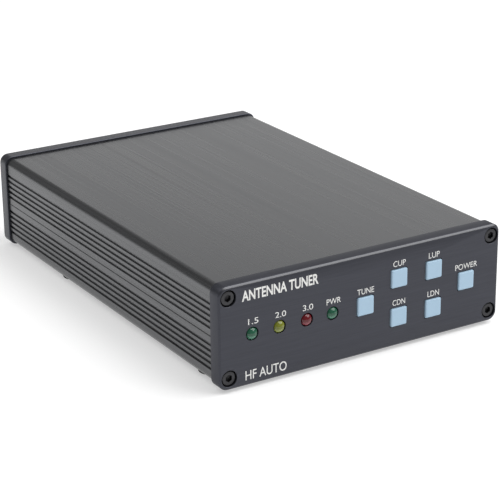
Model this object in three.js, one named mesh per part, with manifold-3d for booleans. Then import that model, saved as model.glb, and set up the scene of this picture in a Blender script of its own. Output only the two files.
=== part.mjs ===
// Antenna tuner: a desktop automatic antenna tuner in a split, finned aluminium case.
//
// Millimetres. +X is right seen from the front, +Y runs back through the case and +Z is up.
// Pieces are laid out in the case's own frame: y = 0 is the front panel's outer face and z = 0 is the
// panels' lower edge. The whole case is then moved so that the origin lies under the middle of the
// overall box, at the level of the feet.

import * as THREE from 'three';
import { mergeVertices } from 'three/addons/utils/BufferGeometryUtils.js';
import Module from 'manifold-3d';

const wasm = await Module();
wasm.setup();

// Driving dimensions: case

const PANEL_WIDTH = 126;
const PANEL_HEIGHT = 40;
const PANEL_THICKNESS = 6.2;
const PANEL_CORNER_RADIUS = 3.6;
const PANEL_CHAMFER = 0.7;
const CASE_LENGTH = 186;

const BODY_INSET = 0.8;
const BODY_CORNER_RADIUS = 3.2;
const BODY_END_GAP = 0.1;
const WALL_SIDE = 2.4;
const WALL_FLAT = 2;
const SEAM_HEIGHT = 19.2;
const SEAM_GAP = 0.1;
const TONGUE_THICKNESS = 0.9;
const TONGUE_HEIGHT = 1.5;
const GROOVE_COUNT = 5;
const GROOVE_PITCH = 2.35;
const FIRST_GROOVE_FROM_SEAM = 3.3;
const GROOVE_WIDTH = 1.05;
const GROOVE_DEPTH = 0.6;
const SLOT_HEIGHT = 8.1;
const SLOT_OPENING = 1.8;
const SLOT_LEDGE = 2;

const SCREW_X = 58.9;
const SCREW_EDGE = 4.5;
const SCREW_HEAD_RADIUS = 2.75;
const SCREW_HEAD_HEIGHT = 3;
const SCREW_SHANK_RADIUS = 1.45;
const SCREW_SHANK_LENGTH = 10;
const SCREW_HOLE_RADIUS = 1.7;
const COUNTERBORE_RADIUS = 3.2;
const COUNTERBORE_DEPTH = 3.5;
const HEX_KEY_SIZE = 2.5;

const FOOT_RADIUS = 4.8;
const FOOT_BELOW_PANEL = 1.3;
const FOOT_X = 54.9;
const FOOT_DEPTHS = { front: 21, rear: 134 };

// Driving dimensions: front controls

const CAP_SIZE = 7.2;
const CAP_PROUD = 0.7;
const CAP_HOLE_SIZE = 7.6;
const CAP_TRAVEL = 0.4;
const BUTTONS = {
  tune: [0.1, 19.7],
  power: [47, 19.8],
  capacitor_up: [15.35, 27.5],
  capacitor_down: [15.4, 11.9],
  inductor_up: [31.5, 27.5],
  inductor_down: [31.5, 11.9],
};

const LED_RADIUS = 2.5;
const LED_LENGTH = 8.6;
const LED_PROUD = 1.1;
const LED_HOLE_RADIUS = 2.6;
const LED_HEIGHT = 19.9;
const LEDS = {
  led_ratio_1_5: [-49.1, 'green'],
  led_ratio_2_0: [-37.5, 'yellow'],
  led_ratio_3_0: [-25.7, 'red'],
  led_power: [-14.4, 'green'],
};

const SWITCH_SIZE = 12;
const SWITCH_FRONT = 8.3;
const SWITCH_DEPTH = 4.3;
const PLUNGER_RADIUS = 3.2;
const PLUNGER_ENTRY = 1.8;
const BOARD_THICKNESS = 1.6;
const DISPLAY_BOARD_HALF_WIDTH = 54;
const DISPLAY_BOARD_LOW = 5;
const DISPLAY_BOARD_HIGH = 34.6;

// Driving dimensions: rear connectors

const REAR_CENTRE_HEIGHT = 20;
const SOCKETS = { antenna: 36, transceiver: 2 };
const FLANGE_SIZE = 25.4;
const FLANGE_THICKNESS = 2;
const FLANGE_HOLE_RADIUS = 1.65;
const FLANGE_HOLE_OFFSET = 9.1;
const BARREL_RADIUS = 7.9;
const BARREL_LENGTH = 12;
const BARREL_BORE = 6.4;
const MOUTH_DEPTH = 4.6;
const SOCKET_BODY_RADIUS = 6.1;
const SOCKET_BODY_LENGTH = 9;
const SOCKET_BODY_BORE = 5;
const BORE_STEP = 2.5;
const SOCKET_HOLE_RADIUS = 6.4;
const CONTACT_RADIUS = 2.7;
const CONTACT_BORE = 2.05;
const CONTACT_BORE_DEPTH = 9;
const SOLDER_CUP_RADIUS = 1.9;
const SOLDER_CUP_BORE = 1.2;
const SOLDER_CUP_LENGTH = 4;
const RUNNING_CLEARANCE = 0.05;

const GROUND_X = -46;
const STUD_RADIUS = 1.95;
const STUD_REACH = 13;
const STUD_HOLE_RADIUS = 2.2;
const STUD_HEAD_RADIUS = 3.7;
const STUD_HEAD_HEIGHT = 2.6;
const WASHER_RADIUS = 4.5;
const WASHER_THICKNESS = 0.8;
const WING_SPAN = 20;
const WING_HEIGHT = 10;

const DC_JACK_X = -26;
const DC_THREAD_RADIUS = 3.9;
const DC_BORE_RADIUS = 3.1;
const DC_PIN_RADIUS = 1.05;
const DC_MOUTH = 3.2;
const DC_BORE_DEPTH = 9.5;
const DC_BODY_RADIUS = 5.2;
const DC_BODY_LENGTH = 7;
const DC_NUT_RADIUS = 5.6;

// Worked out from the driving dimensions

const BODY_HALF_WIDTH = PANEL_WIDTH / 2 - BODY_INSET;
const INNER_HALF_WIDTH = BODY_HALF_WIDTH - WALL_SIDE;
const LOWER_SHELL_HEIGHT = SEAM_HEIGHT - BODY_INSET - SEAM_GAP / 2;
const UPPER_SHELL_HEIGHT = PANEL_HEIGHT - BODY_INSET - SEAM_HEIGHT - SEAM_GAP / 2;
const BODY_START = PANEL_THICKNESS + BODY_END_GAP;
const BODY_END = CASE_LENGTH - PANEL_THICKNESS - BODY_END_GAP;
const REAR_INNER_FACE = CASE_LENGTH - PANEL_THICKNESS;
const BOARD_UNDERSIDE = BODY_INSET + SLOT_HEIGHT + (SLOT_OPENING - BOARD_THICKNESS) / 2;
const BOARD_TOP = BOARD_UNDERSIDE + BOARD_THICKNESS;
const DISPLAY_BOARD_FRONT = SWITCH_FRONT + SWITCH_DEPTH;
const DISPLAY_BOARD_BACK = DISPLAY_BOARD_FRONT + BOARD_THICKNESS;
const OVERALL_REAR = CASE_LENGTH + FLANGE_THICKNESS + BARREL_LENGTH;

// Geometry helpers

function outwards(indices, positions) {
  const corners = [new THREE.Vector3(), new THREE.Vector3(), new THREE.Vector3()];
  let volume = 0;
  const kept = [];
  for (let i = 0; i < indices.length; i += 3) {
    const [a, b, c] = [indices[i], indices[i + 1], indices[i + 2]];
    if (a === b || b === c || c === a) continue;
    kept.push(a, b, c);
    [a, b, c].forEach((vertex, k) => corners[k].fromArray(positions, vertex * 3));
    volume += corners[0].dot(corners[1].cross(corners[2]));
  }
  return volume < 0 ? kept.reverse() : kept;
}

function toSolid(geometry) {
  const bare = geometry.clone();
  bare.deleteAttribute('normal');
  bare.deleteAttribute('uv');
  const welded = mergeVertices(bare, 1e-4);
  const positions = new Float32Array(welded.attributes.position.array);
  const triangles = outwards(Array.from(welded.index.array), positions);
  const mesh = new wasm.Mesh({ numProp: 3, vertProperties: positions, triVerts: new Uint32Array(triangles) });
  return new wasm.Manifold(mesh);
}

function toGeometry(solid) {
  const mesh = solid.getMesh();
  const geometry = new THREE.BufferGeometry();
  geometry.setAttribute('position', new THREE.BufferAttribute(new Float32Array(mesh.vertProperties), 3));
  geometry.setIndex(new THREE.BufferAttribute(new Uint32Array(mesh.triVerts), 1));
  geometry.computeVertexNormals();
  return geometry;
}

function join(...solids) {
  return solids.reduce((whole, next) => whole.add(next));
}

function cut(solid, ...tools) {
  return tools.reduce((rest, tool) => rest.subtract(tool), solid);
}

function box([x0, y0, z0], [x1, y1, z1]) {
  const geometry = new THREE.BoxGeometry(x1 - x0, y1 - y0, z1 - z0);
  geometry.translate((x0 + x1) / 2, (y0 + y1) / 2, (z0 + z1) / 2);
  return toSolid(geometry);
}

function cylinder(radius, start, end, [x, z] = [0, 0], sides = 20) {
  const geometry = new THREE.CylinderGeometry(radius, radius, end - start, sides);
  geometry.translate(x, (start + end) / 2, z);
  return toSolid(geometry);
}

// A profile of [radius, y] points turned about the Y axis.
function turned(profile, sides = 20) {
  const points = profile.map(([radius, y]) => new THREE.Vector2(radius, y));
  return toSolid(new THREE.LatheGeometry(points, sides));
}

// The same, about a vertical axis through [x, y], with [radius, z] points.
function turnedUpright(profile, [x, y], sides = 20) {
  const points = profile.map(([radius, z]) => new THREE.Vector2(radius, z));
  const geometry = new THREE.LatheGeometry(points, sides);
  geometry.rotateX(Math.PI / 2);
  geometry.translate(x, y, 0);
  return toSolid(geometry);
}

// An outline in X and Z, extruded along Y; a bevel draws both ends in by its own size.
function extruded(shape, start, end, bevel = 0, curveSegments = 3) {
  const geometry = new THREE.ExtrudeGeometry(shape, {
    depth: end - start - 2 * bevel,
    bevelEnabled: bevel > 0,
    bevelSize: bevel,
    bevelThickness: bevel,
    bevelOffset: -bevel,
    bevelSegments: 1,
    curveSegments,
  });
  geometry.rotateX(Math.PI / 2);
  geometry.translate(0, end - bevel, 0);
  return toSolid(geometry);
}

function roundedRectangle(width, height, radius, [x, z] = [0, 0]) {
  const [left, right] = [x - width / 2, x + width / 2];
  const [low, high] = [z - height / 2, z + height / 2];
  const shape = new THREE.Shape();
  shape.absarc(right - radius, low + radius, radius, -Math.PI / 2, 0);
  shape.absarc(right - radius, high - radius, radius, 0, Math.PI / 2);
  shape.absarc(left + radius, high - radius, radius, Math.PI / 2, Math.PI);
  shape.absarc(left + radius, low + radius, radius, Math.PI, 1.5 * Math.PI);
  return shape;
}

// A wire of round section along a smooth curve through the given points.
function wire(points, radius, steps, sides = 6) {
  const section = new THREE.Shape();
  section.absarc(0, 0, radius, 0, 2 * Math.PI);
  const path = new THREE.CatmullRomCurve3(points.map((p) => new THREE.Vector3(...p)));
  return toSolid(new THREE.ExtrudeGeometry(section, { steps, extrudePath: path, curveSegments: sides / 2 }));
}

// Materials

function material(color, roughness, metalness = 0) {
  return new THREE.MeshStandardMaterial({ color, roughness, metalness });
}

const anodisedPanel = () => material(0x2b2c30, 0.55, 0.5);
const anodisedShell = () => material(0x34353a, 0.5, 0.5);
const blackSteel = () => material(0x1c1c1e, 0.4, 0.8);
const footRubber = () => material(0x161616, 0.85);
const capPlastic = () => material(0x8fbfdc, 0.45);
const darkPlastic = () => material(0x171717, 0.5);
const boardLaminate = () => material(0x1d4a2a, 0.5);
const nickel = () => material(0xb9b7b0, 0.3, 1);
const silverPlate = () => material(0xd0cec6, 0.3, 1);
const ptfe = () => material(0xf0efe9, 0.5);
const stainless = () => material(0xa9aaac, 0.35, 1);
const ironPowder = () => material(0xb8281e, 0.7);
const enamelledCopper = () => material(0xa8541f, 0.35, 0.9);
const ferrite = () => material(0x3a3a3c, 0.7);
const tinnedCopper = () => material(0xc4c2bd, 0.35, 1);
const relayPlastic = () => material(0xe7e4da, 0.5);
const ceramicBlue = () => material(0x4d6fae, 0.5);
const sleeveBlue = () => material(0x24365f, 0.4);
const lens = {
  green: () => material(0x1f8a4c, 0.1),
  yellow: () => material(0xa9a62a, 0.1),
  red: () => material(0xa3202a, 0.1),
};

const tuner = new THREE.Group();
const layout = new THREE.Group();
layout.position.set(0, (LED_PROUD - OVERALL_REAR) / 2, FOOT_BELOW_PANEL);
tuner.add(layout);

function piece(name, solid, finish, parent = layout) {
  const mesh = new THREE.Mesh(toGeometry(solid), finish);
  mesh.name = name;
  parent.add(mesh);
  return mesh;
}

// Case

// Half of the case body, drawn as the lower half with its floor at z = 0. The wall ends in a tongue
// on the lower shell and in a rebate for it on the upper one.
function shellShape(height, hasTongue) {
  const portWidth = 2 * (BODY_HALF_WIDTH - SCREW_X);
  const portEdge = BODY_HALF_WIDTH - portWidth;
  const ledgeEdge = INNER_HALF_WIDTH - SLOT_LEDGE;
  const ribTop = SLOT_HEIGHT + SLOT_OPENING + 1;
  const outer = [];
  for (let k = GROOVE_COUNT - 1; k >= 0; k -= 1) {
    const middle = height - FIRST_GROOVE_FROM_SEAM - k * GROOVE_PITCH;
    const [low, high] = [middle - GROOVE_WIDTH / 2, middle + GROOVE_WIDTH / 2];
    const groundX = BODY_HALF_WIDTH - GROOVE_DEPTH;
    outer.push([BODY_HALF_WIDTH, low], [groundX, low], [groundX, high], [BODY_HALF_WIDTH, high]);
  }
  const tongueX = INNER_HALF_WIDTH + TONGUE_THICKNESS;
  const rebateX = tongueX + 0.2;
  const tongueTop = height + TONGUE_HEIGHT;
  const tongue = [[tongueX, height], [tongueX, tongueTop], [INNER_HALF_WIDTH, tongueTop]];
  const rebateFloor = height - TONGUE_HEIGHT - 0.3;
  const rebate = [[rebateX, height], [rebateX, rebateFloor], [INNER_HALF_WIDTH, rebateFloor]];
  const inner = [
    [INNER_HALF_WIDTH, ribTop],
    [ledgeEdge, ribTop],
    [ledgeEdge, SLOT_HEIGHT + SLOT_OPENING],
    [INNER_HALF_WIDTH, SLOT_HEIGHT + SLOT_OPENING],
    [INNER_HALF_WIDTH, SLOT_HEIGHT],
    [ledgeEdge, SLOT_HEIGHT],
    [portEdge, SLOT_HEIGHT - 2.5],
    [portEdge, WALL_FLAT],
  ];
  const rightSide = [...outer, [BODY_HALF_WIDTH, height], ...(hasTongue ? tongue : rebate), ...inner];
  const leftSide = rightSide.map(([x, z]) => [-x, z]).reverse();

  const radius = BODY_CORNER_RADIUS;
  const shape = new THREE.Shape();
  shape.absarc(BODY_HALF_WIDTH - radius, radius, radius, -Math.PI / 2, 0);
  [...rightSide, ...leftSide].forEach(([x, z]) => shape.lineTo(x, z));
  shape.absarc(radius - BODY_HALF_WIDTH, radius, radius, Math.PI, 1.5 * Math.PI);

  for (const x of [-SCREW_X, SCREW_X]) {
    const port = new THREE.Path();
    port.absarc(x, SCREW_EDGE - BODY_INSET, SCREW_HOLE_RADIUS, 0, 2 * Math.PI);
    shape.holes.push(port);
  }
  return shape;
}

function addShells() {
  const length = BODY_END - BODY_START;
  const lowerShape = shellShape(LOWER_SHELL_HEIGHT, true);
  const lower = piece('lower_shell', extruded(lowerShape, 0, length), anodisedShell());
  lower.position.set(0, BODY_START, BODY_INSET);
  const upperShape = shellShape(UPPER_SHELL_HEIGHT, false);
  const upper = piece('upper_shell', extruded(upperShape, 0, length), anodisedShell());
  upper.position.set(0, BODY_START, PANEL_HEIGHT - BODY_INSET);
  upper.rotation.y = Math.PI;
}

const SCREW_PLACES = {
  upper_left: [-SCREW_X, PANEL_HEIGHT - SCREW_EDGE],
  upper_right: [SCREW_X, PANEL_HEIGHT - SCREW_EDGE],
  lower_left: [-SCREW_X, SCREW_EDGE],
  lower_right: [SCREW_X, SCREW_EDGE],
};

// A blank end panel with its outer face at y = 0, chamfered round that face, with four counterbores.
function panelBlank() {
  const outline = roundedRectangle(PANEL_WIDTH, PANEL_HEIGHT, PANEL_CORNER_RADIUS, [0, PANEL_HEIGHT / 2]);
  const plate = extruded(outline, 0, PANEL_THICKNESS + PANEL_CHAMFER, PANEL_CHAMFER);
  const reach = PANEL_WIDTH;
  const behind = box([-reach, PANEL_THICKNESS, -reach], [reach, PANEL_THICKNESS + 2, reach]);
  const holes = Object.values(SCREW_PLACES).flatMap((place) => [
    cylinder(COUNTERBORE_RADIUS, -1, COUNTERBORE_DEPTH, place, 20),
    cylinder(SCREW_HOLE_RADIUS, -1, PANEL_THICKNESS + 1, place, 12),
  ]);
  return cut(plate, behind, ...holes);
}

function addFrontPanel() {
  const past = PANEL_THICKNESS + 1;
  const capHoles = Object.values(BUTTONS).map((place) =>
    extruded(roundedRectangle(CAP_HOLE_SIZE, CAP_HOLE_SIZE, 0.5, place), -1, past, 0, 1));
  const ledHoles = Object.values(LEDS).map(([x]) => cylinder(LED_HOLE_RADIUS, -1, past, [x, LED_HEIGHT]));
  piece('front_panel', cut(panelBlank(), ...capHoles, ...ledHoles), anodisedPanel());
}

function addRearPanel() {
  const past = PANEL_THICKNESS + 1;
  const centre = (x) => [-x, REAR_CENTRE_HEIGHT];
  const socketHoles = Object.values(SOCKETS).map((x) => cylinder(SOCKET_HOLE_RADIUS, -1, past, centre(x)));
  const studHole = cylinder(STUD_HOLE_RADIUS, -1, past, centre(GROUND_X), 16);
  const jackHole = cylinder(DC_THREAD_RADIUS + 0.2, -1, past, centre(DC_JACK_X), 20);
  const panel = piece('rear_panel', cut(panelBlank(), ...socketHoles, studHole, jackHole), anodisedPanel());
  panel.position.set(0, CASE_LENGTH, 0);
  panel.rotation.z = Math.PI;
}

// A socket cap screw lying along +Y, with its head's face at y = 0.
function capScrew() {
  const head = SCREW_HEAD_RADIUS;
  const edge = 0.25;
  const tip = SCREW_HEAD_HEIGHT + SCREW_SHANK_LENGTH;
  const blank = turned([
    [0, 0], [head - edge, 0], [head, edge], [head, SCREW_HEAD_HEIGHT],
    [SCREW_SHANK_RADIUS, SCREW_HEAD_HEIGHT], [SCREW_SHANK_RADIUS, tip], [0, tip],
  ], 12);
  const socket = cylinder(HEX_KEY_SIZE / Math.sqrt(3), -1, 1.6, [0, 0], 6);
  return cut(blank, socket);
}

function addScrews() {
  const recess = COUNTERBORE_DEPTH - SCREW_HEAD_HEIGHT - 0.05;
  for (const [corner, [x, z]] of Object.entries(SCREW_PLACES)) {
    const front = piece(`front_screw_${corner}`, capScrew(), blackSteel());
    front.position.set(x, recess, z);
    const rear = piece(`rear_screw_${corner}`, capScrew(), blackSteel());
    rear.position.set(x, CASE_LENGTH - recess, z);
    rear.rotation.z = Math.PI;
  }
}

function addFeet() {
  const top = BODY_INSET;
  const bottom = -FOOT_BELOW_PANEL;
  const round = 0.6;
  const profile = [
    [0, bottom], [FOOT_RADIUS - 2 * round, bottom], [FOOT_RADIUS - round, bottom + 0.2 * round],
    [FOOT_RADIUS - 0.2 * round, bottom + round], [FOOT_RADIUS, top], [0, top],
  ];
  for (const [end, depth] of Object.entries(FOOT_DEPTHS)) {
    for (const [side, x] of [['left', -FOOT_X], ['right', FOOT_X]]) {
      piece(`foot_${end}_${side}`, turnedUpright(profile, [x, depth], 16), footRubber());
    }
  }
}

// Front controls

// A button: the square cap in the panel, a skirt that holds it behind the panel and the plunger that
// works the key switch.
function buttonSolid() {
  const skirtFront = PANEL_THICKNESS + 0.3;
  const skirtBack = skirtFront + 1;
  const skirtHalf = CAP_SIZE / 2 + 0.8;
  const cap = extruded(roundedRectangle(CAP_SIZE, CAP_SIZE, 0.5), -CAP_PROUD, skirtBack - 0.2, 0.35, 1);
  const skirt = box([-skirtHalf, skirtFront, -skirtHalf], [skirtHalf, skirtBack, skirtHalf]);
  const plunger = cylinder(PLUNGER_RADIUS, skirtBack - 0.5, SWITCH_FRONT + PLUNGER_ENTRY, [0, 0], 16);
  return join(cap, skirt, plunger);
}

function switchSolid() {
  const half = SWITCH_SIZE / 2;
  const back = SWITCH_FRONT + SWITCH_DEPTH;
  const housing = extruded(roundedRectangle(SWITCH_SIZE, SWITCH_SIZE, 0.8), SWITCH_FRONT + 0.5, back, 0, 1);
  const cover = box([0.6 - half, SWITCH_FRONT, 0.6 - half], [half - 0.6, SWITCH_FRONT + 1, half - 0.6]);
  const wellFloor = SWITCH_FRONT + PLUNGER_ENTRY + CAP_TRAVEL + 0.6;
  const well = cylinder(PLUNGER_RADIUS + 0.3, SWITCH_FRONT - 1, wellFloor, [0, 0], 16);
  return cut(join(housing, cover), well);
}

function addButtons() {
  for (const [name, [x, z]] of Object.entries(BUTTONS)) {
    piece(`${name}_button`, buttonSolid(), capPlastic()).position.set(x, 0, z);
    piece(`${name}_switch`, switchSolid(), darkPlastic()).position.set(x, 0, z);
  }
}

// A round lamp with a domed tip at y = -LED_PROUD, a flange behind the panel and two leads.
function ledSolid() {
  const tip = -LED_PROUD;
  const base = tip + LED_LENGTH;
  const domeSteps = 4;
  const profile = [];
  for (let k = 0; k <= domeSteps; k += 1) {
    const angle = (k / domeSteps) * (Math.PI / 2);
    profile.push([LED_RADIUS * Math.sin(angle), tip + LED_RADIUS * (1 - Math.cos(angle))]);
  }
  const flangeRadius = LED_RADIUS + 0.4;
  profile.push([LED_RADIUS, base - 1], [flangeRadius, base - 1], [flangeRadius, base], [0, base]);
  const half = 0.25;
  const leads = [-1.27, 1.27].map((x) =>
    box([x - half, base - 0.5, -half], [x + half, DISPLAY_BOARD_FRONT, half]));
  return join(turned(profile, 16), ...leads);
}

function addLeds() {
  for (const [name, [x, colour]] of Object.entries(LEDS)) {
    piece(name, ledSolid(), lens[colour]()).position.set(x, 0, LED_HEIGHT);
  }
}

// Boards

const MAIN_BOARD_FRONT = DISPLAY_BOARD_BACK + 1;
const MAIN_BOARD_REAR = REAR_INNER_FACE - 4;

function addBoards() {
  const display = box(
    [-DISPLAY_BOARD_HALF_WIDTH, DISPLAY_BOARD_FRONT, DISPLAY_BOARD_LOW],
    [DISPLAY_BOARD_HALF_WIDTH, DISPLAY_BOARD_BACK, DISPLAY_BOARD_HIGH],
  );
  piece('display_board', display, boardLaminate());

  const mainHalf = INNER_HALF_WIDTH - 0.6;
  const main = box([-mainHalf, MAIN_BOARD_FRONT, BOARD_UNDERSIDE], [mainHalf, MAIN_BOARD_REAR, BOARD_TOP]);
  piece('main_board', main, boardLaminate());

  const pinCount = 10;
  const pinPitch = 2.54;
  const halfLength = (pinCount * pinPitch) / 2;
  const stripFront = DISPLAY_BOARD_BACK + 0.3;
  const [stripBack, stripTop] = [stripFront + 4.5, BOARD_TOP + 2.5];
  const strip = box([-halfLength, stripFront + 2, BOARD_TOP], [halfLength, stripBack, stripTop]);
  const pinHalf = 0.32;
  const pinHeight = BOARD_TOP + 0.9;
  const pins = [];
  for (let k = 0; k < pinCount; k += 1) {
    const x = (k - (pinCount - 1) / 2) * pinPitch;
    const inStrip = stripFront + 2.2;
    pins.push(box([x - pinHalf, stripFront, pinHeight], [x + pinHalf, inStrip, pinHeight + 2 * pinHalf]));
  }
  piece('board_connector', join(strip, ...pins), darkPlastic());
}

// Rear connectors

// Both coaxial sockets are drawn with the flange's seat at y = 0 and the mouth towards +Y.
function socketShell() {
  const mouth = FLANGE_THICKNESS + BARREL_LENGTH;
  const floor = mouth - MOUTH_DEPTH;
  const rear = -SOCKET_BODY_LENGTH;
  const bore = SOCKET_BODY_BORE;
  const barrel = turned([
    [bore, rear], [SOCKET_BODY_RADIUS, rear], [SOCKET_BODY_RADIUS, 0.5], [BARREL_RADIUS, 0.5],
    [BARREL_RADIUS, mouth - 0.5], [BARREL_RADIUS - 0.5, mouth], [BARREL_BORE, mouth],
    [BARREL_BORE, floor - BORE_STEP], [bore, floor - BORE_STEP], [bore, rear],
  ]);
  const plate = extruded(roundedRectangle(FLANGE_SIZE, FLANGE_SIZE, 2), 0, FLANGE_THICKNESS, 0, 2);
  const through = cylinder(bore + 0.5, -1, FLANGE_THICKNESS + 1);
  const offsets = [-FLANGE_HOLE_OFFSET, FLANGE_HOLE_OFFSET];
  const screwHoles = offsets.flatMap((x) => offsets.map((z) =>
    cylinder(FLANGE_HOLE_RADIUS, -1, FLANGE_THICKNESS + 1, [x, z], 12)));
  return join(cut(plate, through, ...screwHoles), barrel);
}

function socketInsulator() {
  const floor = FLANGE_THICKNESS + BARREL_LENGTH - MOUTH_DEPTH;
  const wide = BARREL_BORE - RUNNING_CLEARANCE;
  const narrow = SOCKET_BODY_BORE - RUNNING_CLEARANCE;
  const inner = CONTACT_RADIUS + RUNNING_CLEARANCE;
  const rear = 0.5 - SOCKET_BODY_LENGTH;
  const shoulder = floor - BORE_STEP + RUNNING_CLEARANCE;
  return turned([
    [inner, rear], [narrow, rear], [narrow, shoulder], [wide, shoulder], [wide, floor], [inner, floor],
    [inner, rear],
  ]);
}

function socketContact() {
  const floor = FLANGE_THICKNESS + BARREL_LENGTH - MOUTH_DEPTH;
  const cupEnd = -SOCKET_BODY_LENGTH - 5;
  const cupStart = cupEnd + SOLDER_CUP_LENGTH;
  const boreEnd = floor - CONTACT_BORE_DEPTH;
  return turned([
    [0, cupStart - 1], [SOLDER_CUP_BORE, cupStart - 1], [SOLDER_CUP_BORE, cupEnd],
    [SOLDER_CUP_RADIUS, cupEnd], [SOLDER_CUP_RADIUS, cupStart], [CONTACT_RADIUS, cupStart + 0.5],
    [CONTACT_RADIUS, floor], [CONTACT_BORE, floor], [CONTACT_BORE, boreEnd], [0, boreEnd],
  ], 16);
}

function addSockets() {
  for (const [name, x] of Object.entries(SOCKETS)) {
    const socket = new THREE.Group();
    socket.position.set(x, CASE_LENGTH, REAR_CENTRE_HEIGHT);
    layout.add(socket);
    piece(`${name}_socket_shell`, socketShell(), nickel(), socket);
    piece(`${name}_socket_insulator`, socketInsulator(), ptfe(), socket);
    piece(`${name}_socket_contact`, socketContact(), silverPlate(), socket);
  }
}

// The ground terminal: a screw put through the panel from inside, with a washer and a wing nut on it.
function addGroundTerminal() {
  const terminal = new THREE.Group();
  terminal.position.set(GROUND_X, CASE_LENGTH, REAR_CENTRE_HEIGHT);
  layout.add(terminal);

  const headFace = -PANEL_THICKNESS;
  const headTop = headFace - STUD_HEAD_HEIGHT;
  const rounding = 0.7;
  const stud = turned([
    [0, headTop], [STUD_HEAD_RADIUS - rounding, headTop], [STUD_HEAD_RADIUS, headTop + rounding],
    [STUD_HEAD_RADIUS, headFace], [STUD_RADIUS, headFace], [STUD_RADIUS, STUD_REACH - 0.5],
    [STUD_RADIUS - 0.5, STUD_REACH], [0, STUD_REACH],
  ], 16);
  piece('ground_stud', stud, stainless(), terminal);

  const seat = RUNNING_CLEARANCE;
  const washer = cut(cylinder(WASHER_RADIUS, seat, seat + WASHER_THICKNESS),
    cylinder(STUD_HOLE_RADIUS, -1, 2, [0, 0], 16));
  piece('ground_washer', washer, stainless(), terminal);

  const nutBase = seat + WASHER_THICKNESS + RUNNING_CLEARANCE;
  const hub = turned([[0, 0], [4, 0], [3.3, 4.6], [0, 4.6]]);
  const wing = new THREE.Shape();
  wing.moveTo(2, 0.8);
  wing.lineTo(4.4, 0.8);
  wing.quadraticCurveTo(7.2, 3.2, WING_SPAN / 2 - 0.9, 5.2);
  wing.absarc(WING_SPAN / 2 - 2, WING_HEIGHT - 2, 2, -Math.PI / 4, Math.PI / 2);
  wing.quadraticCurveTo(5.4, 6.4, 2, 4);
  const depth = 1.6;
  const blade = new THREE.ExtrudeGeometry(wing, { depth, bevelEnabled: false, curveSegments: 3 });
  blade.translate(0, 0, -depth / 2);
  const otherBlade = blade.clone().rotateY(Math.PI);
  const bore = cylinder(STUD_RADIUS + 0.15, -1, WING_HEIGHT, [0, 0], 16);
  const nut = cut(join(hub, toSolid(blade), toSolid(otherBlade)), bore);
  piece('ground_wing_nut', nut, stainless(), terminal).position.y = nutBase;
}

// The power jack: its threaded barrel goes through the panel from inside and a ring nut holds it.
function addDcJack() {
  const jack = new THREE.Group();
  jack.position.set(DC_JACK_X, CASE_LENGTH, REAR_CENTRE_HEIGHT);
  layout.add(jack);

  const inner = -PANEL_THICKNESS;
  const floor = DC_MOUTH - DC_BORE_DEPTH;
  const back = inner - DC_BODY_LENGTH;
  const barrel = turned([
    [0, DC_MOUTH - 1], [DC_PIN_RADIUS, DC_MOUTH - 1], [DC_PIN_RADIUS, floor], [DC_BORE_RADIUS, floor],
    [DC_BORE_RADIUS, DC_MOUTH], [DC_THREAD_RADIUS, DC_MOUTH], [DC_THREAD_RADIUS, inner],
    [DC_BODY_RADIUS, inner], [DC_BODY_RADIUS, back + 1.5], [3.4, back], [0, back],
  ], 20);
  piece('dc_jack', barrel, darkPlastic(), jack);

  const nutBlank = cylinder(DC_NUT_RADIUS, RUNNING_CLEARANCE, 2.2, [0, 0], 6);
  const nut = cut(nutBlank, cylinder(DC_THREAD_RADIUS + 0.1, -1, 3, [0, 0], 20));
  piece('dc_jack_nut', nut, nickel(), jack);
}

// Radio-frequency parts on the main board

// A ring core lying flat, and the wire wound round its rectangular section.
function addToroid(name, [x, y], outerRadius, innerRadius, height, turns, wireRadius) {
  const air = 1.1;
  const bottom = BOARD_TOP + 2 * (wireRadius + air);
  const top = bottom + height;
  const core = turnedUpright([
    [innerRadius, bottom], [outerRadius, bottom], [outerRadius, top], [innerRadius, top],
    [innerRadius, bottom],
  ], [x, y]);
  piece(`${name}_core`, core, ironPowder());

  const offset = wireRadius + air;
  const section = [
    [outerRadius + offset, bottom], [outerRadius + offset, top], [outerRadius, top + offset],
    [innerRadius, top + offset], [innerRadius - offset, top], [innerRadius - offset, bottom],
    [innerRadius, bottom - offset], [outerRadius, bottom - offset],
  ];
  const points = [];
  const stepCount = turns * section.length;
  const coverage = 1.7 * Math.PI;
  for (let k = 0; k < stepCount; k += 1) {
    const angle = (k / stepCount) * coverage;
    const [radius, z] = section[k % section.length];
    points.push([x + radius * Math.cos(angle), y + radius * Math.sin(angle), z]);
  }
  piece(`${name}_winding`, wire(points, wireRadius, stepCount), enamelledCopper());
}

function addAirCoil([x, y]) {
  const turns = 5;
  const stepsPerTurn = 10;
  const [coilRadius, pitch, wireRadius] = [4, 2.2, 0.5];
  const centreHeight = BOARD_TOP + coilRadius + wireRadius + 0.5;
  const points = [];
  for (let k = 0; k <= turns * stepsPerTurn; k += 1) {
    const angle = (k / stepsPerTurn) * 2 * Math.PI;
    const along = y + (k / stepsPerTurn) * pitch;
    points.push([x + coilRadius * Math.cos(angle), along, centreHeight + coilRadius * Math.sin(angle)]);
  }
  piece('air_coil', wire(points, wireRadius, turns * stepsPerTurn), enamelledCopper());
}

// A row of box-shaped parts along Y, standing on one low carrier strip.
function rowOfBlocks([x, firstY], count, pitch, [width, depth, height]) {
  const stripHalf = width / 2 - 1;
  const length = (count - 1) * pitch + depth;
  const [stripStart, stripEnd] = [firstY + 0.5, firstY + length - 0.5];
  const strip = box([x - stripHalf, stripStart, BOARD_TOP], [x + stripHalf, stripEnd, BOARD_TOP + 1]);
  const blocks = [];
  for (let k = 0; k < count; k += 1) {
    const y = firstY + k * pitch;
    blocks.push(box([x - width / 2, y, BOARD_TOP + 0.4], [x + width / 2, y + depth, BOARD_TOP + height]));
  }
  return join(strip, ...blocks);
}

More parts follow.
